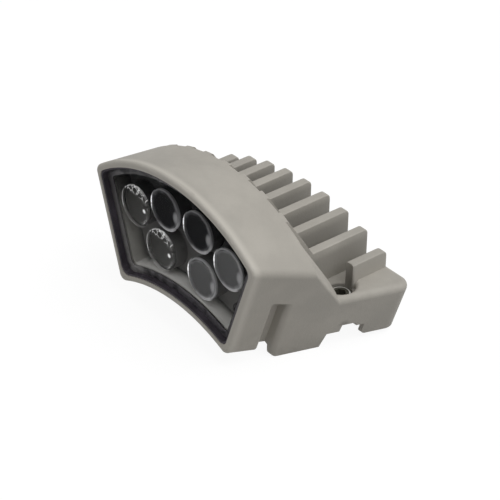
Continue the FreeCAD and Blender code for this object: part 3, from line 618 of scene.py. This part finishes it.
def lens_piece(index, front_finish, back_finish):
    """Collimating lens in place of its CAD solid: a profile of radius against depth carried once round. The
    front is dished with a raised lip, the rim has a step and two notches, the cone's radius is a straight
    line plus a bow times t (1 - t), and the emitter well ends in a quarter of an ellipse."""
    node = f"lens_{index}"
    middle, front = middle_of(node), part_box(node)[0].y
    t = np.linspace(0.0, 1.0, 15)
    cone = zip(CONE_R - CONE_LOSS * t + CONE_BOW * t * (1 - t), CONE_START + CONE_LENGTH * t)
    well = np.linspace(0.0, math.pi / 2, 7)
    dome = zip(WELL_R * np.cos(well), WELL_DEPTH - WELL_DOME * np.sin(well))
    profile = np.array([*LENS_FRONT, *cone, *LENS_FOOT, *dome])
    profile[-1, 0] = 0.0
    centre = middle.x, front, middle.z
    piece = revolved(f"{node}_optic", profile * MM, centre, LENS_SEGMENTS, RIM_START_R * MM, lens_rim)
    piece.data.materials.append(front_finish)
    piece.data.materials.append(back_finish)
    places = np.zeros(len(piece.data.polygons) * 3)
    piece.data.polygons.foreach_get("center", places)
    behind = places.reshape(-1, 3)[:, 1] > front + RIM_DEPTH * MM
    piece.data.polygons.foreach_set("material_index", behind.astype(np.int32))
    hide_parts(node)
    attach(piece, BODY)


# Add-on


class IlluminatorSizes(bpy.types.PropertyGroup):
    """Sizes and colours a user would change."""

    coat_colour: bpy.props.FloatVectorProperty(
        name="Coat colour", description="Powder coat of the casting", default=(0.43, 0.408, 0.366),
        subtype="COLOR", min=0.0, max=1.0)
    mask_colour: bpy.props.FloatVectorProperty(
        name="Mask colour", description="Print round the pane", default=(0.066, 0.061, 0.067),
        subtype="COLOR", min=0.0, max=1.0)
    steel_colour: bpy.props.FloatVectorProperty(
        name="Steel colour", description="Stainless screws and washers", default=(0.62, 0.61, 0.59),
        subtype="COLOR", min=0.0, max=1.0)
    pane_index: bpy.props.FloatProperty(
        name="Pane index", description="Refractive index of the coated pane", default=1.3, min=1.0, max=2.0)


class StudioSizes(bpy.types.PropertyGroup):
    """Camera, lamps and floor."""

    focal: bpy.props.FloatProperty(
        name="Focal length", description="Lens of the camera, in millimetres", default=172.997, min=20.0)
    key_power: bpy.props.FloatProperty(
        name="Key power", description="Overhead soft lamp", default=15.4, min=0.0, unit="POWER")
    fill_level: bpy.props.FloatProperty(
        name="Fill level", description="Even light of the surroundings", default=0.34, min=0.0)
    floor_size: bpy.props.FloatProperty(
        name="Floor size", description="Side of the floor", default=6.0, min=0.5, unit="LENGTH")


class ILLUMINATOR_OT_casting(bpy.types.Operator):
    """Powder coat on the one-piece casting"""

    bl_idname = "illuminator.casting"
    bl_label = "Casting"

    def execute(self, context):
        dress(powder_coat(context.scene.illuminator_sizes), "housing")
        return {"FINISHED"}


class ILLUMINATOR_OT_window(bpy.types.Operator):
    """Pane, bead, printed mask and seal"""

    bl_idname = "illuminator.window"
    bl_label = "Window"

    def execute(self, context):
        sizes = context.scene.illuminator_sizes
        dress(clear_window(sizes), "window_glass")
        dress(mask_print(sizes), "window_mask")
        dress(rubber("bead_rubber", (0.05, 0.043, 0.054), 1400.0), "glazing_bead")
        # The seal is painted paler at the window's left as light
        dress(rubber("seal_rubber", (0.021, 0.021, 0.022), 700.0, LEFT_LIGHT), "window_seal")
        return {"FINISHED"}


class ILLUMINATOR_OT_lenses(bpy.types.Operator):
    """Six lenses, their cups and emitters"""

    bl_idname = "illuminator.lenses"
    bl_label = "Lenses"

    def execute(self, context):
        cups = cup_plastic()
        dark = lens_back("lens_back", (0.016, 0.016, 0.017))
        olive = lens_back("lens_back_warm", (0.034, 0.032, 0.028))
        gem = emitter()
        for index in range(1, LENS_COUNT + 1):
            middle = middle_of(f"lens_{index}")
            if index in CLEAR_HAZE:
                lens_piece(index, lens_clear(f"lens_clear_{index}", middle, CLEAR_HAZE[index]), olive)
            else:
                # Lenses 2 and 3 get the satin finish painted darker as shaded, the others the one painted
                # paler as lit
                body, gloss = SHADED_SATIN if index in SHADED_LENSES else LIT_SATIN
                lens_piece(index, lens_satin(f"lens_satin_{index}", middle, body, gloss), dark)
            dress(cups, f"holder_{index}")
            dress(gem, f"led_{index}")
        return {"FINISHED"}


class ILLUMINATOR_OT_electrics(bpy.types.Operator):
    """Boards, thermal pad and driver parts"""

    bl_idname = "illuminator.electrics"
    bl_label = "Boards and driver"

    def execute(self, context):
        dress(circuit_board(), "led_board", "driver_board")
        dress(plastic("pad", (0.4, 0.42, 0.45), 0.7, 500.0), "thermal_pad")
        black = plastic("component_black", (0.03, 0.03, 0.033), 0.45)
        dress(black, "driver_chip", "driver_coil", "driver_link")
        dress(can_metal(), "driver_capacitors")
        return {"FINISHED"}


class ILLUMINATOR_OT_fixings(bpy.types.Operator):
    """Screws, washers and the lead's inlet"""

    bl_idname = "illuminator.fixings"
    bl_label = "Screws and inlet"

    def execute(self, context):
        steel = screw_steel(context.scene.illuminator_sizes)
        dress(steel, "driver_screws", "mounting_screws", "mounting_washers")
        dress(bpy.data.materials.get("holder_plastic") or cup_plastic(), "board_screws")
        dress(plastic("bush_plastic", (0.035, 0.035, 0.036), 0.5), "inlet_bush")
        dress(rubber("inlet_rubber", (0.018, 0.018, 0.019), 900.0), "inlet_ring", "inlet_grommet")
        return {"FINISHED"}


class ILLUMINATOR_OT_stage(bpy.types.Operator):
    """Camera, soft lamps, pale floor and white surroundings"""

    bl_idname = "illuminator.stage"
    bl_label = "Stage"

    def execute(self, context):
        sizes = context.scene.studio_sizes
        place_camera(context.scene, sizes)
        place_floor(sizes)
        place_lamps(context.scene, sizes)
        surroundings(context.scene, sizes)
        context.scene.view_settings.view_transform = "Standard"
        return {"FINISHED"}


def place_camera(scene, sizes):
    """Camera at the photograph's viewing angle."""
    data = bpy.data.cameras.new("camera")
    data.sensor_width = 36.0
    data.lens = sizes.focal
    data.shift_x, data.shift_y = CAMERA_SHIFT
    data.clip_start, data.clip_end = 0.05, 50.0
    camera = bpy.data.objects.new("camera", data)
    scene.collection.objects.link(camera)
    turn = Matrix((CAMERA_RIGHT, CAMERA_UP, CAMERA_BACK)).transposed().to_4x4()
    camera.matrix_world = Matrix.Translation(CAMERA_PLACE) @ turn
    scene.camera = camera


def background_rays(g):
    """1 for the rays that show the background: from the camera, mirrored, or through something clear."""
    kinds = ("Is Camera Ray", "Is Glossy Ray", "Is Transmission Ray")
    camera, mirrored, through = g.add("ShaderNodeLightPath", out=kinds)
    return (camera + mirrored + through).clamp()


def place_floor(sizes):
    """Square floor under the feet. The camera sees it lit almost white, so only the object's shadow shows."""
    half = sizes.floor_size / 2
    corners = [(x * half, y * half, 0.0) for x, y in ((-1, -1), (1, -1), (1, 1), (-1, 1))]
    floor = skin("floor", corners, [(0, 1, 2, 3)])
    material, g = new_material("floor_paper")
    grain = g.noise(g.point(), 220.0, 3.0, 0.6)
    glow = g.add("ShaderNodeEmission", None, ((*WHITE, 1.0), FLOOR_GLOW))
    direct = background_rays(g)
    pale = g.mix(direct, (0.45, 0.45, 0.45), (0.96, 0.96, 0.96))
    paper = g.principled(Base_Color=g.mix(grain * 0.1, pale, (0.62, 0.62, 0.62)), Roughness=0.9)
    g.output(g.add("ShaderNodeMixShader", None, (direct * FLOOR_SHARE, paper, glow)))
    dress(material, "floor")


def place_lamps(scene, sizes):
    """One large overhead lamp and a weaker one at the front left, both aimed at the object."""
    for name, place, side, share in LAMPS:
        data = bpy.data.lights.new(name, "AREA")
        data.shape, data.size, data.energy = "SQUARE", side, sizes.key_power * share
        lamp = bpy.data.objects.new(name, data)
        scene.collection.objects.link(lamp)
        back = Vector(place) - Vector(LAMP_AIM)
        lamp.matrix_world = Matrix.Translation(place) @ back.to_track_quat("Z", "Y").to_matrix().to_4x4()


def surroundings(scene, sizes):
    """White to the camera and in reflections, an even soft fill for everything else."""
    world = bpy.data.worlds.new("surroundings")
    scene.world = world
    world.use_nodes = True
    g = Graph(world.node_tree)
    soft = g.add("ShaderNodeBackground", None, ((*WHITE, 1.0), sizes.fill_level))
    white = g.add("ShaderNodeBackground", None, ((*WHITE, 1.0), 1.0))
    mixed = g.add("ShaderNodeMixShader", None, (background_rays(g), soft, white))
    g.add("ShaderNodeOutputWorld", None, {"Surface": mixed})


class ILLUMINATOR_PT_panel(bpy.types.Panel):
    """Lists the illuminator's steps and sizes"""

    bl_idname = "ILLUMINATOR_PT_panel"
    bl_label = "Infrared illuminator"
    bl_space_type = "VIEW_3D"
    bl_region_type = "UI"
    bl_category = "Illuminator"

    def draw(self, context):
        for step in STEPS:
            self.layout.operator(step.bl_idname)
        for group in (context.scene.illuminator_sizes, context.scene.studio_sizes):
            for name in group.__annotations__:
                self.layout.prop(group, name)


STEPS = (ILLUMINATOR_OT_stage, ILLUMINATOR_OT_casting, ILLUMINATOR_OT_window, ILLUMINATOR_OT_lenses,
         ILLUMINATOR_OT_electrics, ILLUMINATOR_OT_fixings)
CLASSES = (IlluminatorSizes, StudioSizes, *STEPS, ILLUMINATOR_PT_panel)


def register():
    for item in CLASSES:
        bpy.utils.register_class(item)
    bpy.types.Scene.illuminator_sizes = bpy.props.PointerProperty(type=IlluminatorSizes)
    bpy.types.Scene.studio_sizes = bpy.props.PointerProperty(type=StudioSizes)


def unregister():
    del bpy.types.Scene.studio_sizes
    del bpy.types.Scene.illuminator_sizes
    for item in reversed(CLASSES):
        bpy.utils.unregister_class(item)


def main():
    register()
    bpy.ops.illuminator.stage()
    bpy.ops.illuminator.casting()
    bpy.ops.illuminator.window()
    bpy.ops.illuminator.lenses()
    bpy.ops.illuminator.electrics()
    bpy.ops.illuminator.fixings()


if __name__ == "__main__":
    main()
